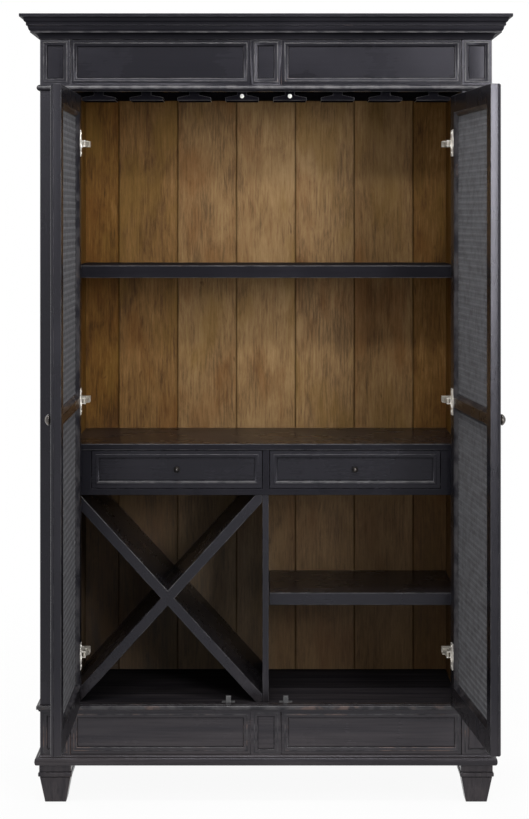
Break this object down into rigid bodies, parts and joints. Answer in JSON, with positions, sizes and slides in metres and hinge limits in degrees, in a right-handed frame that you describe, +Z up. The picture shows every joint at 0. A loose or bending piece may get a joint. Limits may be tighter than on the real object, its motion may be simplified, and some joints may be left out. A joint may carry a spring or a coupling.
{
  "type": "display cabinet",
  "caption": "Tall bar and display cabinet with wire mesh doors, drawers, a crossed bottle rack, loose shelves and a stemware rack under its ceiling.",
  "frame": {"origin": "on the floor, in the middle of the box that the cabinet fills with its doors open", "axes": "+X to the right as seen from the front, +Y from the front to the back, +Z up"},
  "size_m": [1.231, 0.9378, 1.981],
  "materials": {
    "black_paint": "satin black paint over wood, rubbed through at the edges",
    "stained_wood": "brown stain, satin",
    "black_metal": "dark, satin",
    "nickel": "nickel plated, bright",
    "wire_mesh": "grey woven wire",
    "white_nylon": "matte",
    "grey_plastic": "matte"
  },
  "bodies": {
    "cabinet": {"left_front_post": "black_paint", "right_front_post": "black_paint", "left_outer_side": "black_paint", "right_outer_side": "black_paint", "left_inner_side": "stained_wood", "right_inner_side": "stained_wood", "back_panel": "stained_wood", "crown": "black_paint", "frieze_rail": "black_paint", "base_rail": "black_paint", "base_moulding": "black_paint", "front_left_foot": "black_paint", "front_right_foot": "black_paint", "rear_left_foot": "black_paint", "rear_right_foot": "black_paint", "floor_panel": "black_paint", "mid_deck": "black_paint", "drawer_runner_panel": "black_paint", "lower_partition": "black_paint", "bottle_rack": "black_paint", "stemware_rack": "black_paint", "left_door_bumper": "white_nylon", "right_door_bumper": "white_nylon", "left_floor_catch": "grey_plastic", "right_floor_catch": "grey_plastic", "drawer_face_frame": "black_paint", "left_lower_hinge_arm": "nickel", "left_middle_hinge_arm": "nickel", "left_upper_hinge_arm": "nickel", "right_lower_hinge_arm": "nickel", "right_middle_hinge_arm": "nickel", "right_upper_hinge_arm": "nickel"},
    "left_door": {"left_door_frame": "black_paint", "left_upper_mesh": "wire_mesh", "left_lower_mesh": "wire_mesh", "left_door_knob": "black_metal", "left_lower_hinge_cup": "nickel", "left_middle_hinge_cup": "nickel", "left_upper_hinge_cup": "nickel"},
    "right_door": {"right_door_frame": "black_paint", "right_upper_mesh": "wire_mesh", "right_lower_mesh": "wire_mesh", "right_door_knob": "black_metal", "right_lower_hinge_cup": "nickel", "right_middle_hinge_cup": "nickel", "right_upper_hinge_cup": "nickel"},
    "left_hinge_links": {"left_lower_hinge_link": "nickel", "left_middle_hinge_link": "nickel", "left_upper_hinge_link": "nickel"},
    "right_hinge_links": {"right_lower_hinge_link": "nickel", "right_middle_hinge_link": "nickel", "right_upper_hinge_link": "nickel"},
    "left_drawer": {"left_drawer_front": "black_paint", "left_drawer_box": "black_paint", "left_drawer_knob": "black_metal"},
    "right_drawer": {"right_drawer_front": "black_paint", "right_drawer_box": "black_paint", "right_drawer_knob": "black_metal"},
    "upper_loose_shelf": {"upper_shelf": "black_paint"},
    "lower_loose_shelf": {"lower_shelf": "black_paint"}
  },
  "joints": [
    {"name": "left_door_swing", "type": "hinge", "parent": "cabinet", "child": "left_door", "pos_m": [-0.489, 0.01886, 1.0135], "axis": [0, 0, -1], "range_deg": [-90, 10]},
    {"name": "right_door_swing", "type": "hinge", "parent": "cabinet", "child": "right_door", "pos_m": [0.489, 0.01886, 1.0135], "axis": [0, 0, 1], "range_deg": [-95.3, 4.7]},
    {"name": "left_link_fold", "type": "hinge", "parent": "left_door", "child": "left_hinge_links", "pos_m": [-0.4564, 0.01536, 1.0135], "axis": [0, 0, 1], "range_deg": [-171.6, 19.3]},
    {"name": "right_link_fold", "type": "hinge", "parent": "right_door", "child": "right_hinge_links", "pos_m": [0.45686, 0.01237, 1.0135], "axis": [0, 0, -1], "range_deg": [-181.7, 9.2]},
    {"name": "left_drawer_slide", "type": "slide", "parent": "cabinet", "child": "left_drawer", "axis": [0, -1, 0], "range_m": [0, 0.28]},
    {"name": "right_drawer_slide", "type": "slide", "parent": "cabinet", "child": "right_drawer", "axis": [0, -1, 0], "range_m": [0, 0.28]},
    {"name": "upper_shelf_lift", "type": "slide", "parent": "cabinet", "child": "upper_loose_shelf", "axis": [0, 0, 1], "range_m": [0, 0.02]},
    {"name": "lower_shelf_lift", "type": "slide", "parent": "cabinet", "child": "lower_loose_shelf", "axis": [0, 0, 1], "range_m": [0, 0.02]}
  ],
  "couplings": [
    {"joint": "left_link_fold", "follows": "left_door_swing", "ratio": 1.9038},
    {"joint": "right_link_fold", "follows": "right_door_swing", "ratio": 1.9038}
  ]
}
